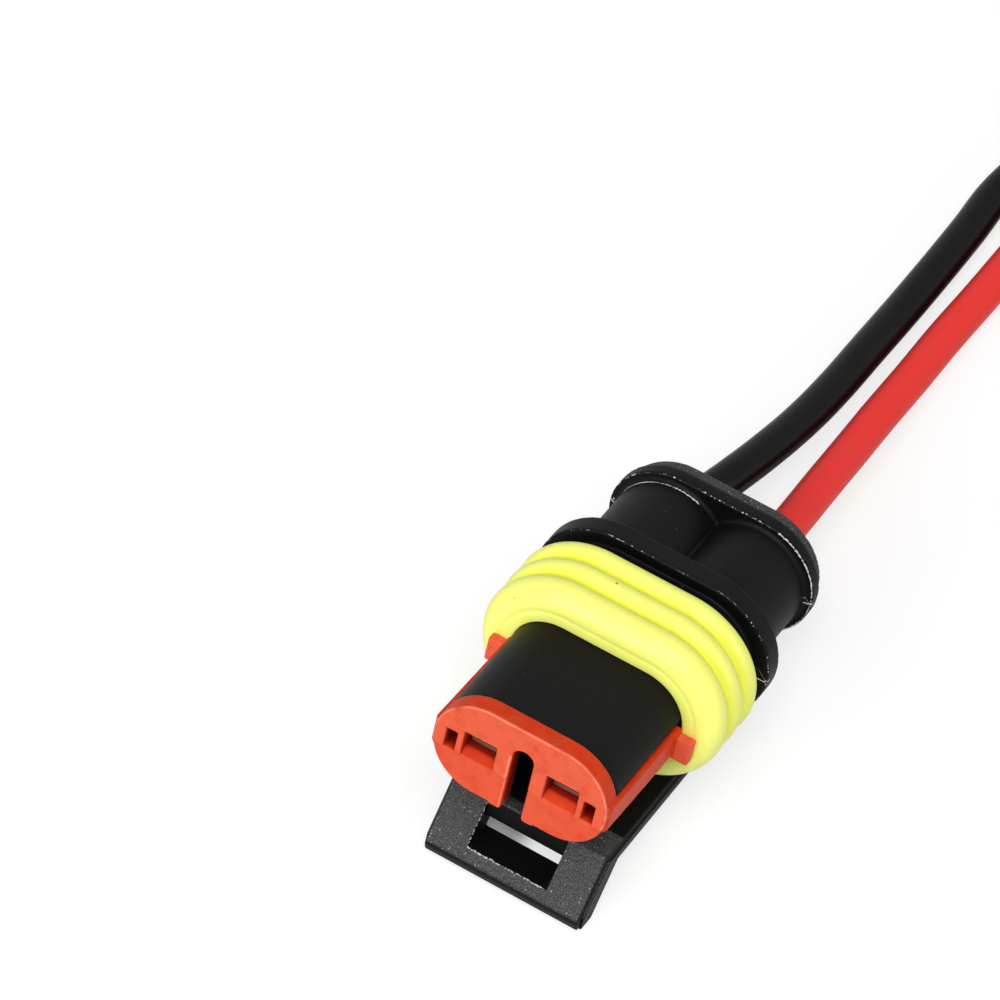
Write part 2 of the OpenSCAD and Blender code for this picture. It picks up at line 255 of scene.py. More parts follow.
# --- Wire seals ------------------------------------------------------------------------------
# A ribbed sleeve of tan silicone rubber on each lead. It is crimped with the lead and pushed
# into the bore behind the contact, where it keeps the water out.
SMOOTH_STEP = {"interpolation_type": "SMOOTHSTEP"}
TIMES = {"operation": "MULTIPLY"}
# A Mix node of COLOURS takes its share at 0 and its colours at 6 and 7, and gives its mix at 2.
COLOURS = {"data_type": "RGBA"}


def silicone(name, colour, gap_shade_colour, fleck):
    """Oiled, moulded silicone rubber: waxy and a little see-through, with slow waves of about a
    millimetre in its gloss. Its colour deepens with its shade mark, painted shade down in the
    gaps between ridges, and a few specks of dust, a tenth of a millimetre across, stick to it."""
    material, tree, shader = new_material(name)
    place = add_node(tree, "ShaderNodeNewGeometry", output="Position")
    # Painted shade: the colour is deeper where the shade mark is one.
    groove = add_node(tree, "ShaderNodeAttribute", {"attribute_name": "groove"}, output="Fac")
    shade = add_node(tree, "ShaderNodeMix", COLOURS,
                     {0: groove, 6: srgb(colour), 7: srgb(gap_shade_colour)}, 2)
    cells = add_node(tree, "ShaderNodeTexVoronoi",
                     inputs={"Vector": place, "Scale": 1 / (1.3 * MM)}, output="Distance")
    chance = add_node(tree, "ShaderNodeSeparateColor",
                      inputs={"Color": cells.node.outputs["Color"]})
    middle = add_node(tree, "ShaderNodeMapRange", SMOOTH_STEP,
                      {"Value": cells, "From Min": 0.085, "From Max": 0.05})
    chosen = add_node(tree, "ShaderNodeMapRange", SMOOTH_STEP,
                      {"Value": chance, "From Min": 0.7, "From Max": 0.74})
    speck = add_node(tree, "ShaderNodeMath", TIMES, {0: middle, 1: chosen})
    shade = add_node(tree, "ShaderNodeMix", COLOURS, {0: speck, 6: shade, 7: srgb(fleck)}, 2)
    tree.links.new(shader.inputs["Base Color"], shade)
    shader.inputs["Roughness"].default_value = 0.36
    shader.inputs["IOR"].default_value = 1.43
    shader.inputs["Subsurface Weight"].default_value = 0.2
    shader.inputs["Subsurface Radius"].default_value = (1.0, 0.9, 0.3)
    shader.inputs["Subsurface Scale"].default_value = 0.5 * MM
    waves = add_node(tree, "ShaderNodeTexNoise",
                     inputs={"Vector": place, "Scale": 1 / (1.2 * MM), "Detail": 3})
    bump = add_node(tree, "ShaderNodeBump",
                    inputs={"Height": waves, "Strength": 0.35, "Distance": 0.08 * MM})
    tree.links.new(shader.inputs["Normal"], bump)
    return material


tan_silicone = silicone("silicone_tan_wire_seal", "#d98f4e", "#c07a3c", "#8a5a2a")
dress(["wire_seal_left", "wire_seal_right"], tan_silicone)

# --- Housing ---------------------------------------------------------------------------------
# One moulding in black glass-filled nylon: the oval tower with its grooves, key recess and
# chambers, then the shoulder, the flange, two barrels and the rim. Its edges and corners are
# a little rounded, and flash that the tool left runs along some of them; its pale glint is a
# painted highlight.
OVAL = 3.05
TOWER_R = 3.25
TOWER_Y = 1.45
SHOULDER_R = 4.4
SHOULDER_Y = 16.6
FLANGE_HALF = 3.37
FLANGE_R = 5.3
FLANGE_Y = 17.53
FLANGE_BACK_Y = 19.05
BARREL_R = 4.0
RIM_R = 4.6
RIM_Y = 25.81
RIM_STEP_Y = 26.8
KEY = 0.75
BORE_R = 2.15
BORE_Y = 9.9
# Blocks by their lowest and highest corners. All but the rail and the recess are in pairs.
KEY_RAIL = (-1.5, TOWER_Y, -4.1), (1.5, 9.0, -2.0)
KEY_RECESS = (-KEY, 0, -3.7), (KEY, 7.5, 2.0)
ARM_GROOVE = (5.85, 0.4, -1.6), (9, 10, 1.05)
BOSS_SEAT = (1.17, 0, -1.18), (4.58, 2.33, 1.58)
BOSS_SEAT_END = (4.3, 0, -1.28), (6, 2.33, 1.03)
CHAMBER = (1.7, 0, -0.75), (4.3, BORE_Y + 1, 1.35)
# Added to a distance, this takes an edge out of the reach of any mark, such as the painted highlight
# on flash.
FAR = 9


def oval(x, z, half, r):
    """Distance to an oval outline: two half circles joined by straight runs."""
    return np.hypot(np.maximum(np.abs(x) - half, 0), z) - r


def span(v, low, high):
    """Distance to the space between two planes."""
    return np.maximum(low - v, v - high)


def meet(a, b, r):
    """What two shapes share, with the edge between them rounded."""
    return np.minimum(-r, np.maximum(a, b)) + np.hypot(np.maximum(r + a, 0), np.maximum(r + b, 0))


def join(a, b, r):
    """Two shapes together, with a fillet between them."""
    return np.maximum(r, np.minimum(a, b)) - np.hypot(np.maximum(r - a, 0), np.maximum(r - b, 0))


def cut(a, b, r):
    """One shape with another taken out of it, with a rounded edge."""
    return meet(a, -b, r)


def brick(x, y, z, low, high, r):
    """Distance to a block with rounded edges."""
    gaps = [np.abs(v - (a + b) / 2) - (b - a) / 2 + r for v, a, b in zip((x, y, z), low, high)]
    outside = np.sqrt(sum(np.maximum(g, 0) ** 2 for g in gaps))
    return outside + np.minimum(np.maximum(np.maximum(gaps[0], gaps[1]), gaps[2]), 0) - r


def slope_of(field, points, small):
    """The field's slope at each point, which is the way the surface faces."""
    return np.stack([(field(*(points + small * e).T) - field(*(points - small * e).T)) / (2 * small)
                     for e in np.eye(3)], 1)


def skin(field, low, high, step):
    """Points and four-sided faces of the surface where a field of distances is zero."""
    counts = [int(math.ceil((b - a) / step)) + 1 for a, b in zip(low, high)]
    lines = [a + step * np.arange(n) for a, n in zip(low, counts)]
    # The grid is worked out in a few slabs, so that it needs less memory.
    slabs = [field(*np.meshgrid(x, lines[1], lines[2], indexing="ij")).astype(np.float32)
             for x in np.array_split(lines[0], 8)]
    grid = np.concatenate(slabs)
    inside = grid < 0
    strides = np.array([counts[1] * counts[2], counts[2], 1])
    cells, places, quads = [], [], []
    for axis in range(3):
        one, two = (axis + 1) % 3, (axis + 2) % 3
        head = [slice(None)] * 3
        tail = [slice(None)] * 3
        head[axis] = slice(None, -1)
        tail[axis] = slice(1, None)
        at = np.argwhere(inside[tuple(head)] != inside[tuple(tail)])
        near = grid[tuple(head)][tuple(at.T)]
        far = grid[tuple(tail)][tuple(at.T)]
        place = at.astype(float)
        place[:, axis] += near / (near - far)
        index = at @ strides
        corners = [index - a * strides[one] - b * strides[two]
                   for a, b in ((1, 1), (0, 1), (0, 0), (1, 0))]
        flip = near > 0
        quad = np.stack(corners, 1)
        quad[flip] = quad[flip][:, ::-1]
        quads.append(quad)
        cells += corners
        places += [place] * 4
    cells = np.concatenate(cells)
    places = np.concatenate(places)
    used, where = np.unique(cells, return_inverse=True)
    share = np.bincount(where)
    points = np.stack([np.bincount(where, places[:, k]) / share for k in range(3)], 1)
    points = np.array(low) + points * step
    quads = np.searchsorted(used, np.concatenate(quads))
    # Each point is then walked onto the surface itself.
    for _ in range(3):
        slope = slope_of(field, points, step / 20)
        move = (field(*points.T) / np.maximum((slope ** 2).sum(1), 0.2))[:, None] * slope
        points -= np.clip(move, -step / 2, step / 2)
    return points, quads


def seated_piece(name, points, quads, material, **marks):
    """A mesh from points in the plug's millimetres, laid down on the table, with its marks:
    one number a point, which the materials read."""
    mesh = bpy.data.meshes.new(name)
    mesh.from_pydata(points.tolist(), [], quads.tolist())
    for mark, values in marks.items():
        attribute = mesh.attributes.new(mark, "FLOAT", "POINT")
        attribute.data.foreach_set("value", values.astype(np.float32))
    mesh.transform(SEAT)
    mesh.shade_smooth()
    mesh.materials.append(material)
    piece = bpy.data.objects.new(name, mesh)
    bpy.context.scene.collection.objects.link(piece)
    return piece


def housing_field(x, y, z):
    """Distance to the housing's surface. The barrels, the flange and the rim overlap inside."""
    side = np.abs(x)
    body = meet(oval(x, z, OVAL, TOWER_R), span(y, TOWER_Y, FLANGE_BACK_Y - 0.2), 0.1)
    shoulder = meet(oval(x, z, OVAL, SHOULDER_R), span(y, SHOULDER_Y, FLANGE_BACK_Y - 0.2), 0.08)
    body = join(body, shoulder, 0.05)
    barrels = join(np.hypot(x - OVAL, z) - BARREL_R, np.hypot(x + OVAL, z) - BARREL_R, 0.08)
    body = join(body, meet(barrels, span(y, FLANGE_Y + 0.4, RIM_Y + 0.5), 0.05), 0.05)
    flange = meet(oval(x, z, FLANGE_HALF, FLANGE_R), span(y, FLANGE_Y, FLANGE_BACK_Y), 0.1)
    body = join(body, flange, 0.08)
    rim = meet(oval(x, z, OVAL, RIM_R), span(y, RIM_Y, RIM_STEP_Y), 0.1)
    rim_back = oval(x, z, OVAL - 0.25, RIM_R - 0.13)
    rim_back = meet(rim_back, span(y, RIM_STEP_Y - 0.2, REAR_Y), 0.1)
    body = join(join(body, rim, 0.3), rim_back, 0.02)
    body = join(body, brick(x, y, z, *KEY_RAIL, 0.15), 0.1)
    body = cut(body, brick(side, y, z, *ARM_GROOVE, 0.05), 0.05)
    body = cut(body, brick(side, y, z, *BOSS_SEAT, 0.05), 0.03)
    body = cut(body, brick(side, y, z, *BOSS_SEAT_END, 0.05), 0.03)
    body = cut(body, brick(x, y, z, *KEY_RECESS, 0.3), 0.06)
    body = cut(body, brick(side, y, z, *CHAMBER, 0.1), 0.06)
    bores = meet(np.hypot(side - PITCH / 2, z) - BORE_R, BORE_Y - y, 0.05)
    return cut(body, bores, 0.12)


def nearest(edges):
    """The nearest of several edges to each point. An edge is a pair of distances, square to
    one another, and so is what comes back."""
    pairs = np.array([np.broadcast_arrays(*edge) for edge in edges])
    chosen = np.hypot(pairs[:, 0], pairs[:, 1]).argmin(0)
    return np.take_along_axis(pairs, chosen[None, None], 0)[0]


def housing_flash_glint(x, y, z):
    """The nearest edge that carries flash, whose pale glint is a painted highlight: on the flange,
    the rim, the shoulder and along the left barrel's fillet. The rim's is thinner on the right."""
    flange = oval(x, z, FLANGE_HALF, FLANGE_R)
    rim = oval(x, z, OVAL, RIM_R) + 0.06 * (x > 2.8)
    shoulder = oval(x, z, OVAL, SHOULDER_R)
    barrel = np.hypot(np.abs(x) - OVAL, z) - BARREL_R - 0.02 + FAR * (x > -1.4)
    # The tool's halves met along the middle, and left a tick on the flange and on the rim.
    ends = OVAL + 4.05 - np.abs(x)
    flange_tick = np.maximum(np.maximum(ends, span(y, FLANGE_Y - 0.05, FLANGE_Y + 0.4)), 0)
    rim_tick = np.maximum(np.maximum(ends, span(y, RIM_Y - 0.1, RIM_Y + 0.2)), 0)
    return nearest([(flange, y - FLANGE_Y), (rim, y - RIM_Y), (shoulder, y - SHOULDER_Y - 0.03),
                    (barrel, y - RIM_Y + 0.28), (z, flange_tick), (z, rim_tick)])


TIMES_PLUS = {"operation": "MULTIPLY_ADD"}


def nylon(name):
    """Black glass-filled nylon, moulded. It is smooth and near black, and grey with sparkling
    glass where the mark "eroded" says that the tool was spark-eroded. Its grain is the tool's
    grit of 0.07 mm. The glass is far finer than the cells of 0.22 mm that stand for it, which
    are as coarse as they need to show. Flash lies ragged along the marked edges, and its pale
    glint there is a painted highlight."""
    material, tree, shader = new_material(name)
    place = add_node(tree, "ShaderNodeNewGeometry", output="Position")
    eroded, wear_a, wear_b = [
        add_node(tree, "ShaderNodeAttribute", {"attribute_name": mark}, output="Fac")
        for mark in ("eroded", "wear_a", "wear_b")]
    grain = add_node(tree, "ShaderNodeTexNoise", inputs={
        "Vector": place, "Scale": 1 / (0.07 * MM), "Detail": 5, "Roughness": 0.75})
    patches = add_node(tree, "ShaderNodeTexNoise",
                       inputs={"Vector": place, "Scale": 1 / (1.1 * MM), "Detail": 4})
    ragged = add_node(tree, "ShaderNodeTexNoise",
                      inputs={"Vector": place, "Scale": 1 / (0.16 * MM), "Detail": 4})
    # Glass: the middle of a few cells, chosen by the cell's own colour
    cells = add_node(tree, "ShaderNodeTexVoronoi",
                     inputs={"Vector": place, "Scale": 1 / (0.22 * MM)}, output="Distance")
    chance = add_node(tree, "ShaderNodeSeparateColor",
                      inputs={"Color": cells.node.outputs["Color"]})
    middle = add_node(tree, "ShaderNodeMapRange", SMOOTH_STEP,
                      {"Value": cells, "From Min": 0.26, "From Max": 0.08})
    chosen = add_node(tree, "ShaderNodeMapRange", SMOOTH_STEP,
                      {"Value": chance, "From Min": 0.6, "From Max": 0.95})
    speck = add_node(tree, "ShaderNodeMath", TIMES, {0: middle, 1: chosen})
    # The eroded finish, and dust in a few patches of the smooth one
    tone = add_node(tree, "ShaderNodeMapRange", SMOOTH_STEP,
                    {"Value": grain, "From Min": 0.4, "From Max": 0.66})
    rough = add_node(tree, "ShaderNodeMix", COLOURS,
                     {0: tone, 6: srgb("#212121"), 7: srgb("#6a6a6a")}, 2)
    rough = add_node(tree, "ShaderNodeMix", COLOURS, {0: speck, 6: rough, 7: srgb("#c4c4c4")}, 2)
    colour = add_node(tree, "ShaderNodeMix", COLOURS, {0: eroded, 6: srgb("#0d0d0e"), 7: rough}, 2)
    dusty = add_node(tree, "ShaderNodeMapRange", SMOOTH_STEP,
                     {"Value": patches, "From Min": 0.62, "From Max": 0.7})
    dust = add_node(tree, "ShaderNodeMath", TIMES, {0: speck, 1: dusty})
    colour = add_node(tree, "ShaderNodeMix", COLOURS, {0: dust, 6: colour, 7: srgb("#6a6a6a")}, 2)
    # Flash, drawn as a pale painted highlight: it shows within its reach of the edge, which varies and
    # in places is nothing
    square = add_node(tree, "ShaderNodeMath", TIMES, {0: wear_b, 1: wear_b})
    square = add_node(tree, "ShaderNodeMath", TIMES_PLUS, {0: wear_a, 1: wear_a, 2: square})
    away = add_node(tree, "ShaderNodeMath", {"operation": "SQRT"}, {0: square})
    torn = add_node(tree, "ShaderNodeMapRange", SMOOTH_STEP,
                    {"Value": ragged, "From Min": 0.4, "From Max": 0.7})
    reach = add_node(tree, "ShaderNodeMath", TIMES_PLUS, {0: torn, 1: 0.06, 2: 0.03})
    left_on = add_node(tree, "ShaderNodeMapRange", SMOOTH_STEP,
                       {"Value": patches, "From Min": 0.3, "From Max": 0.5})
    reach = add_node(tree, "ShaderNodeMath", TIMES, {0: reach, 1: left_on})
    beyond = add_node(tree, "ShaderNodeMath", {"operation": "SUBTRACT"}, {0: away, 1: reach})
    flash = add_node(tree, "ShaderNodeMapRange", SMOOTH_STEP,
                     {"Value": beyond, "From Min": 0.015, "From Max": -0.02})
    colour = add_node(tree, "ShaderNodeMix", COLOURS, {0: flash, 6: colour, 7: srgb("#cfcfcb")}, 2)
    tree.links.new(shader.inputs["Base Color"], colour)
    roughness = add_node(tree, "ShaderNodeMath", TIMES_PLUS, {0: eroded, 1: 0.05, 2: 0.42})
    tree.links.new(shader.inputs["Roughness"], roughness)
    shader.inputs["IOR"].default_value = 1.5
    shader.inputs["Specular IOR Level"].default_value = 0.09
    depth = add_node(tree, "ShaderNodeMath", TIMES_PLUS, {0: eroded, 1: 0.6, 2: 0.1})
    height = add_node(tree, "ShaderNodeMath", TIMES, {0: grain, 1: depth})
    bump = add_node(tree, "ShaderNodeBump",
                    inputs={"Height": height, "Strength": 0.8, "Distance": 0.05 * MM})
    tree.links.new(shader.inputs["Normal"], bump)
    return material


black_nylon = nylon("nylon_black_moulded")
points, quads = skin(housing_field, (-9, 1.2, -5.6), (9, 27.9, 5.6), step=0.16)
x, y, z = points.T
# Distances to the edges whose flash gets a pale painted highlight
wear = housing_flash_glint(x, y, z)
# The rim's rear face and band are spark-eroded too, a little less than the latch's front.
housing = seated_piece("housing_moulding", points, quads, black_nylon, wear_a=wear[0],
                       wear_b=wear[1], eroded=0.9 * np.clip((y - RIM_STEP_Y) / 0.1, 0, 1))
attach(housing, "housing")
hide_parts("housing")

# --- Latch -----------------------------------------------------------------------------------
# Part of the same moulding: a foot under the flange, a flat arm with a long opening, and a
# sloping front plate with a window. The arm bends. The front is spark-eroded, and a fine ledge
# along the sides shows where the tool's halves met.
LATCH_HALF = 5.9
LEDGE = 0.17
ARM_TOP = -7.4
ARM_LOW = -8.7
ARM_END_Y = 18.5
WINDOW_HALF = 2.95
WINDOW_LOW = -10.6
CROSSBAR_LOW = -9.1
CROSSBAR_Y = 4.15
LIP_LOW = -12.45
# The arm's long opening by its lowest and highest corners
ARM_OPENING = (-2.9, 5.8, -10), (2.9, 14.4, -6)


def arc(cy, cz, r, start, end):
    """Points of a round stretch, between two angles in degrees."""
    angles = np.radians(np.linspace(start, end, 7))
    return [(cy + r * math.cos(a), cz + r * math.sin(a)) for a in angles]


# The latch from the side, as (y, z): its whole outline, and the ledge's behind the front.
LIP_HEEL = [(3.7, LIP_LOW), (5.9, ARM_LOW), (ARM_END_Y, ARM_LOW)]
LIP = ([(4.2, ARM_TOP)] + arc(2.695, -11.598, 0.9, 148.6, 200.2)
       + arc(2.224, -12.2, 0.25, 200.2, 270) + LIP_HEEL + [(ARM_END_Y, ARM_TOP)])
LIP_BACK = [(4.45, -7.85), (2.3, -11.4), (2.3, LIP_LOW)] + LIP_HEEL + [(ARM_END_Y, -7.85)]


def polygon(a, b, corners):
    """Distance to a polygon's outline in two dimensions, negative inside it."""
    best = np.full(np.shape(a), 1e9)
    sign = np.ones(np.shape(a))
    for (a0, b0), (a1, b1) in zip(corners, corners[1:] + corners[:1]):
        ea, eb = a1 - a0, b1 - b0
        wa, wb = a - a0, b - b0
        t = np.clip((wa * ea + wb * eb) / (ea * ea + eb * eb), 0, 1)
        best = np.minimum(best, (wa - ea * t) ** 2 + (wb - eb * t) ** 2)
        above, below = b >= b0, b < b1
        turn = ea * wb > eb * wa
        sign = np.where((above & below & turn) | (~above & ~below & ~turn), -sign, sign)
    return sign * np.sqrt(best)


def latch_field(x, y, z):
    """Distance to the latch's surface."""
    side = np.abs(x)
    front = meet(polygon(y, z, LIP), side - LATCH_HALF + LEDGE, 0.12)
    body = join(front, meet(polygon(y, z, LIP_BACK), side - LATCH_HALF, 0.08), 0.01)
    foot = brick(x, y, z, (-LATCH_HALF, FLANGE_Y + 0.06, ARM_LOW),
                 (LATCH_HALF, FLANGE_BACK_Y - 0.06, -4.3), 0.2)
    body = join(body, foot, 0.35)
    # The window goes right through below the crossbar, and in front of it is open at the top.
    window = brick(x, y, z, (-WINDOW_HALF, -1, WINDOW_LOW), (WINDOW_HALF, 6.8, CROSSBAR_LOW), 0.04)
    body = cut(body, window, 0.03)
    notch = brick(x, y, z, (-WINDOW_HALF, -1, WINDOW_LOW), (WINDOW_HALF, CROSSBAR_Y, -6.5), 0.04)
    body = cut(body, notch, 0.03)
    return cut(body, brick(x, y, z, *ARM_OPENING, 0.25), 0.1)


def latch_flash_glint(x, y, z):
    """The nearest edge that carries flash, whose pale glint is a painted highlight: the window's on
    the front plate, but not on its right side, and the middle of the crossbar's top edge."""
    window = np.maximum(-WINDOW_HALF - x, WINDOW_LOW - z)
    plate = polygon(y, z, LIP) + FAR * (x > WINDOW_HALF - 0.1)
    crossbar = np.where(np.abs(x) < 1.6, z - ARM_TOP, FAR)
    return nearest([(window, plate), (y - CROSSBAR_Y, crossbar)])


points, quads = skin(latch_field, (-6.1, 1.2, -12.7), (6.1, 19.2, -4.1), step=0.11)
x, y, z = points.T
facing = slope_of(latch_field, points, 0.02)
# The plate faces forwards and up, and is square to (0, -0.854, 0.521).
plate = np.clip((-0.854 * facing[:, 1] + 0.521 * facing[:, 2] - 0.88) / 0.1, 0, 1) * (y < 4.6)
ledges = np.clip((facing[:, 2] - 0.8) / 0.15, 0, 1) * (z > -7.6) * (y < 6.5)
# Distances to the edges whose flash gets a pale painted highlight
wear = latch_flash_glint(x, y, z)
latch = seated_piece("latch_moulding", points, quads, black_nylon, wear_a=wear[0],
                     wear_b=wear[1], eroded=np.maximum(plate, ledges))
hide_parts("latch")
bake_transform(latch)

# --- Interface seal --------------------------------------------------------------------------
# A soft band of yellow silicone rubber, moulded with three ridges that press on the shroud.
# It is stretched over the tower up to the shoulder, and its front ridge is the widest.
SEAL_Y = 10.0
SEAL_END_Y = 16.5
CREST_Y = SEAL_Y + 1.4
CREST_R = 5.8
CREST_PITCH = 1.95
RIDGE_R = 0.95
RIDGE_MIDDLE = CREST_R - RIDGE_R


def seal_section():
    """Points of the band's section as (radius, y), from the front inner edge round to the back."""
    points = [(TOWER_R, SEAL_Y + 0.12), (TOWER_R + 0.04, SEAL_Y + 0.03), (TOWER_R + 0.14, SEAL_Y)]
    # A faint line runs round the front face.
    points += [(3.8, SEAL_Y), (4.0, SEAL_Y + 0.01), (4.12, SEAL_Y + 0.05), (4.24, SEAL_Y + 0.01),
               (4.4, SEAL_Y)]
    # The first ridge swells out of the front face in one round, the others stand on their own.
    points += [(4.5 + 1.3 * math.sin(a), CREST_Y - 1.38 * math.cos(a))
               for a in np.radians(np.linspace(6, 84, 12))]
    points += [(RIDGE_MIDDLE + RIDGE_R * math.cos(a), CREST_Y + RIDGE_R * math.sin(a))
               for a in np.radians(np.linspace(0, 62, 8))]
    for k in (1, 2):
        for a in np.radians(np.linspace(-62, 62, 15)):
            # The last ridge's back is a little lower.
            low = 0.1 * (k == 2) * (a > 0.6)
            points.append((RIDGE_MIDDLE + RIDGE_R * math.cos(a) - low,
                           CREST_Y + k * CREST_PITCH + RIDGE_R * math.sin(a)))
    return points + [(4.9, SEAL_END_Y - 0.15), (4.8, SEAL_END_Y), (TOWER_R + 0.1, SEAL_END_Y),
                     (TOWER_R, SEAL_END_Y - 0.1)]


def swept_oval(section, half, steps):
    """A closed section carried round the tower's oval."""
    straight = np.linspace(half, -half, 26)[1:-1]
    ring = [(half, math.pi / 2 - math.pi * k / steps) for k in range(steps + 1)]
    ring += [(x, -math.pi / 2) for x in straight]
    ring += [(-half, -math.pi / 2 - math.pi * k / steps) for k in range(steps + 1)]
    ring += [(-x, math.pi / 2) for x in straight]
    points = [(cx + r * math.cos(a), y, r * math.sin(a)) for cx, a in ring for r, y in section]
    n, m = len(ring), len(section)
    quads = [(i * m + j, i * m + (j + 1) % m, (i + 1) % n * m + (j + 1) % m, (i + 1) % n * m + j)
             for i in range(n) for j in range(m)]
    return np.array(points), np.array(quads)


yellow_silicone = silicone("silicone_yellow_oiled", "#f8fd7c", "#f4f844", "#a08a20")
points, quads = swept_oval(seal_section(), OVAL, 72)
# Painted shade: the colour deepens below the crests, behind the front ridge.
depth = CREST_R - oval(points[:, 0], points[:, 2], OVAL, 0)
groove = np.clip(depth / 0.5, 0, 1) * (points[:, 1] > CREST_Y)
seal = seated_piece("seal_band", points, quads, yellow_silicone, groove=groove)
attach(seal, "housing")
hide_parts("interface_seal")

# --- Secondary lock --------------------------------------------------------------------------
# An orange clip moulded in PBT. Its plate closes the tower's front and keeps the contacts in,
# two bosses behind it fit the tower's mouth, and its two arms slide in grooves along the
# tower's sides and end in small hooks.
LOCK_T = 1.4
LOWER_Y = 0.12
STEP_Z = -0.95
BOSS_Y = LOCK_T - 0.3
BOSS_END_Y = 2.25
ARM_X = 5.9
ARM_OUT_X = 6.42
HOOK_Y = 9.25
ARM_TIP_Y = 9.95
OPENING_IN_X = 1.81
OPENING_OUT_X = 4.19
# The plate's two outlines: how far up they sit, half the straight run, and the radius
UPPER = 0.1, 2.6, 3.68
LOWER = -0.2, 2.9, 3.38
# Blocks by their lowest and highest corners. All but the tab are in pairs.
TAB = (-1.65, LOWER_Y, -3.72), (1.65, LOCK_T, -1)
BOSS = (1.25, BOSS_Y, -1.1), (4.5, BOSS_END_Y, 1.5)
BOSS_END = (4.4, BOSS_Y, -1.2), (5.65, BOSS_END_Y, 0.95)
HOOK = (ARM_X, HOOK_Y, -1.75), (7.54, ARM_TIP_Y, 0.15)
CONTACT_OPENING = (OPENING_IN_X, -1, -0.57), (OPENING_OUT_X, 3, 1.2)
SIDE_OPENING = (4.61, -1, -0.96), (5.44, 3, 0.76)
KEY_SLOT = (0, -9, -4), (KEY, 9, 2)
# An arm and the ramp under a contact's opening from the side, as (y, z)
ARM_SIDE = [(LOWER_Y, -1.05), (LOWER_Y, 1.0), (ARM_TIP_Y, 0.5), (ARM_TIP_Y, -1.55)]
RAMP_SIDE = [(-0.5, -1.3), (1.1, -0.5), (1.1, 0.2), (-0.5, 0.2)]


def plate_outline(x, z, lift, half, r):
    """Distance to one of the plate's outlines."""
    return oval(x, z - lift, half, r)


def lock_field(x, y, z):
    """Distance to the lock's surface."""
    side = np.abs(x)
    upper = meet(plate_outline(x, z, *UPPER), span(y, 0, LOCK_T), 0.12)
    lower = meet(plate_outline(x, z, *LOWER), span(y, LOWER_Y, LOCK_T), 0.12)
    plate = join(meet(upper, STEP_Z - z, 0.02), meet(lower, z - STEP_Z - 0.1, 0.02), 0.01)
    body = join(plate, brick(x, y, z, *TAB, 0.12), 0.05)
    body = join(body, brick(side, y, z, *BOSS, 0.06), 0.02)
    body = join(body, brick(side, y, z, *BOSS_END, 0.06), 0.02)
    arm = meet(span(side, ARM_X, ARM_OUT_X), polygon(y, z, ARM_SIDE), 0.08)
    arm = np.maximum(arm, meet(side - ARM_OUT_X, LOWER_Y - y, 0.4))
    body = join(body, arm, 0.15)
    body = join(body, brick(side, y, z, *HOOK, 0.1), 0.1)
    body = cut(body, brick(side, y, z, *CONTACT_OPENING, 0.04), 0.04)
    ramp = meet(polygon(y, z, RAMP_SIDE), span(side, OPENING_IN_X, OPENING_OUT_X), 0.03)
    body = cut(body, ramp, 0.04)
    body = cut(body, brick(side, y, z, *SIDE_OPENING, 0.03), 0.03)
    key = np.minimum(np.hypot(x, z - 1.25) - KEY, brick(x, y, z, (-KEY, -2, -6), (KEY, 4, 1.25), 0))
    return cut(body, key, 0.22)


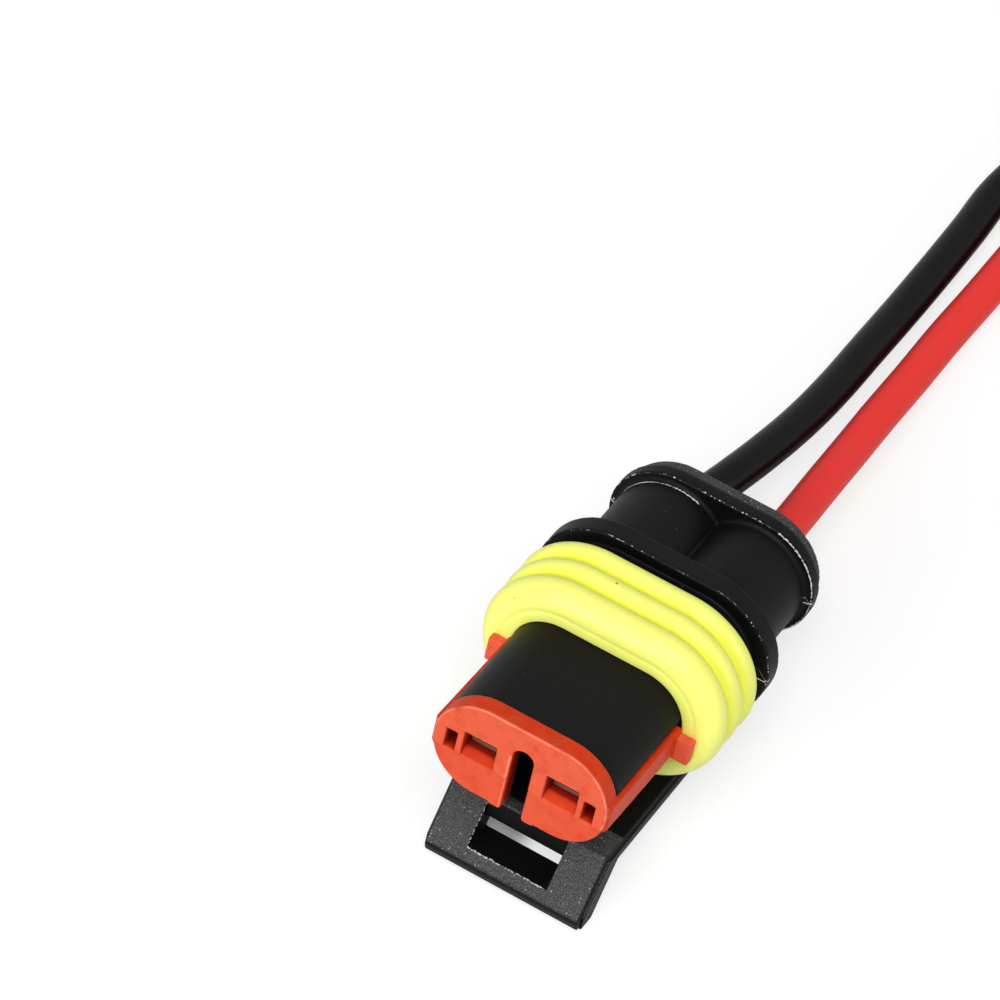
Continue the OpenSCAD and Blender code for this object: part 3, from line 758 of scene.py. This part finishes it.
def pbt(name):
    """Orange PBT, moulded: satin, with a mottle of about a millimetre. Its "face" is paler in
    patches, a painted sheen; its "inner" walls are a deeper red, painted shade; it is ringed
    where the ejector "pins" stood; and a pale painted highlight runs along some edges."""
    material, tree, shader = new_material(name)
    place = add_node(tree, "ShaderNodeNewGeometry", output="Position")
    face, inner, pins, wear = [
        add_node(tree, "ShaderNodeAttribute", {"attribute_name": mark}, output="Fac")
        for mark in ("face", "inner", "pins", "wear")]
    mottle = add_node(tree, "ShaderNodeTexNoise",
                      inputs={"Vector": place, "Scale": 1 / (0.9 * MM), "Detail": 5})
    tone = add_node(tree, "ShaderNodeMapRange", SMOOTH_STEP,
                    {"Value": mottle, "From Min": 0.35, "From Max": 0.7})
    colour = add_node(tree, "ShaderNodeMix", COLOURS,
                      {0: tone, 6: srgb("#cb350d"), 7: srgb("#d43f16")}, 2)
    # Painted sheen: the front face and the arms' outsides are paler, in patches of the mottle.
    sheen_patches = add_node(tree, "ShaderNodeMapRange", SMOOTH_STEP,
                     {"Value": mottle, "From Min": 0.0, "From Max": 0.6})
    pale = add_node(tree, "ShaderNodeMath", TIMES, {0: face, 1: sheen_patches})
    colour = add_node(tree, "ShaderNodeMix", COLOURS, {0: pale, 6: colour, 7: srgb("#df5b3c")}, 2)
    # Painted shade: the walls inside the openings are a deeper red.
    colour = add_node(tree, "ShaderNodeMix", COLOURS, {0: inner, 6: colour, 7: srgb("#901505")}, 2)
    # Each pin left a ring, between two distances from its middle.
    ring_in = add_node(tree, "ShaderNodeMapRange", SMOOTH_STEP,
                       {"Value": pins, "From Min": 0.12, "From Max": 0.18})
    ring_out = add_node(tree, "ShaderNodeMapRange", SMOOTH_STEP,
                        {"Value": pins, "From Min": 0.32, "From Max": 0.26})
    ring = add_node(tree, "ShaderNodeMath", TIMES, {0: ring_in, 1: ring_out})
    ring = add_node(tree, "ShaderNodeMath", TIMES, {0: ring, 1: 0.55})
    colour = add_node(tree, "ShaderNodeMix", COLOURS, {0: ring, 6: colour, 7: srgb("#9a5a3a")}, 2)
    # Painted highlight: pale along the marked edges, broken up by the mottle
    close = add_node(tree, "ShaderNodeMapRange", SMOOTH_STEP,
                     {"Value": wear, "From Min": 0.13, "From Max": 0.05})
    broken = add_node(tree, "ShaderNodeMapRange", SMOOTH_STEP,
                      {"Value": mottle, "From Min": 0.3, "From Max": 0.55})
    edge_highlight = add_node(tree, "ShaderNodeMath", TIMES, {0: close, 1: broken})
    edge_highlight = add_node(tree, "ShaderNodeMath", TIMES, {0: edge_highlight, 1: 0.6})
    colour = add_node(tree, "ShaderNodeMix", COLOURS, {0: edge_highlight, 6: colour, 7: srgb("#f59a80")}, 2)
    tree.links.new(shader.inputs["Base Color"], colour)
    shader.inputs["Roughness"].default_value = 0.5
    shader.inputs["IOR"].default_value = 1.5
    shader.inputs["Specular IOR Level"].default_value = 0.16
    shader.inputs["Subsurface Weight"].default_value = 0.12
    shader.inputs["Subsurface Radius"].default_value = (1.0, 0.25, 0.1)
    shader.inputs["Subsurface Scale"].default_value = 0.35 * MM
    bump = add_node(tree, "ShaderNodeBump",
                    inputs={"Height": mottle, "Strength": 0.4, "Distance": 0.05 * MM})
    tree.links.new(shader.inputs["Normal"], bump)
    return material


orange_pbt = pbt("pbt_orange_moulded")
points, quads = skin(lock_field, (-7.8, -0.3, -4.1), (7.8, 10.2, 4.1), step=0.09)
x, y, z = points.T
# Where the painted sheen goes: the front face and the arms' outsides.
face = np.maximum(np.clip((0.25 - y) / 0.2, 0, 1), np.abs(x) > 6.5)
openings = np.minimum.reduce([brick(np.abs(x), y, z, low, high, 0)
                              for low, high in (CONTACT_OPENING, SIDE_OPENING, KEY_SLOT)])
# Painted shade: the walls inside the openings turn deeper red from a little way in.
inner = np.clip((0.12 - openings) / 0.1, 0, 1) * np.clip((y - 0.25) / 0.5, 0, 1)
pins = np.where(z > 2, np.hypot(np.abs(x - 0.14) - 1.57, y - 0.55), FAR)
# A painted highlight runs along the front's top edge and down the left side of the key slot.
wear = np.minimum(np.hypot(plate_outline(x, z, *UPPER), y) + FAR * (z < STEP_Z),
                  np.hypot(x + KEY + 0.1, y - 0.05) + FAR * (z > 1.3))
lock = seated_piece("lock_clip", points, quads, orange_pbt, face=face, inner=inner, pins=pins,
                    wear=wear)
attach(lock, "secondary_lock")
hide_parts("secondary_lock")

# --- Table and light -------------------------------------------------------------------------
# A white card on a white ground. Soft boxes stand in front and overhead, and a weak one fills
# in from the right. None stands behind, so the black tops stay dark.
TABLE_HALF = 0.16
# Close to this place under the latch's left end, the card glows less to the camera, a painted shade
# that lets its rendered shadow show deep.
SHADE_PLACE = SEAT @ Vector((-2.4, 6.3, -11.8))
WHITE = (1, 1, 1, 1)

table_mesh = bpy.data.meshes.new("table")
table_mesh.from_pydata([(-TABLE_HALF, -TABLE_HALF, 0), (TABLE_HALF, -TABLE_HALF, 0),
                        (TABLE_HALF, TABLE_HALF, 0), (-TABLE_HALF, TABLE_HALF, 0)], [], [(0, 1, 2, 3)])
table = bpy.data.objects.new("table", table_mesh)
bpy.context.scene.collection.objects.link(table)
paper, tree, shader = new_material("white_card")
shader.inputs["Base Color"].default_value = (0.8, 0.8, 0.8, 1)
shader.inputs["Roughness"].default_value = 0.9
shader.inputs["Specular IOR Level"].default_value = 0.0
# To the camera the card is part glow and part card, so that it is white and keeps a shadow.
place = add_node(tree, "ShaderNodeNewGeometry", output="Position")
apart = add_node(tree, "ShaderNodeVectorMath", {"operation": "DISTANCE"},
                 {0: place, 1: SHADE_PLACE}, "Value")
clear = add_node(tree, "ShaderNodeMapRange", SMOOTH_STEP,
                 {"Value": apart, "From Min": 0.8 * MM, "From Max": 2.8 * MM})
share = add_node(tree, "ShaderNodeMath", TIMES_PLUS, {0: clear, 1: 0.5, 2: 0.1})
camera_ray = add_node(tree, "ShaderNodeLightPath", output="Is Camera Ray")
share = add_node(tree, "ShaderNodeMath", TIMES, {0: camera_ray, 1: share})
glow = add_node(tree, "ShaderNodeEmission", inputs={"Color": WHITE, "Strength": 1.18})
mixed = add_node(tree, "ShaderNodeMixShader", inputs={0: share, 1: shader.outputs[0], 2: glow})
tree.links.new(tree.nodes["Material Output"].inputs["Surface"], mixed)
table_mesh.materials.append(paper)

# The surround lights weakly, but shows white to the camera and in reflections.
world = bpy.data.worlds.new("surround")
bpy.context.scene.world = world
world.use_nodes = True
tree = world.node_tree
plain = tree.nodes["Background"]
plain.inputs["Color"].default_value = WHITE
plain.inputs["Strength"].default_value = 0.16
shown = add_node(tree, "ShaderNodeBackground", inputs={"Color": WHITE, "Strength": 1.0})
camera_ray, transmission_ray, glossy_ray = [
    add_node(tree, "ShaderNodeLightPath", output=ray)
    for ray in ("Is Camera Ray", "Is Transmission Ray", "Is Glossy Ray")]
seen = add_node(tree, "ShaderNodeMath", {"operation": "MAXIMUM"}, {0: camera_ray, 1: transmission_ray})
seen = add_node(tree, "ShaderNodeMath", {"operation": "MAXIMUM"}, {0: seen, 1: glossy_ray})
mixed = add_node(tree, "ShaderNodeMixShader", inputs={0: seen, 1: plain.outputs[0], 2: shown})
tree.links.new(tree.nodes["World Output"].inputs["Surface"], mixed)


def lamp(name, place, aim, size, power):
    """A square soft box, placed and aimed in metres."""
    data = bpy.data.lights.new(name, "AREA")
    data.shape = "SQUARE"
    data.size = size
    data.energy = power
    box = bpy.data.objects.new(name, data)
    box.location = place
    box.rotation_euler = (Vector(aim) - Vector(place)).to_track_quat("-Z", "Y").to_euler()
    bpy.context.scene.collection.objects.link(box)


lamp("front_lamp", (-0.14, -0.45, 0.28), (0, 0, 0.01), size=0.3, power=1.6)
lamp("top_lamp", (0.1, -0.17, 0.56), (0, 0, 0.01), size=0.35, power=2.4)
lamp("side_lamp", (0.42, 0.08, 0.2), (0, 0, 0.01), size=0.25, power=0.3)

bpy.context.scene.view_settings.view_transform = "Standard"
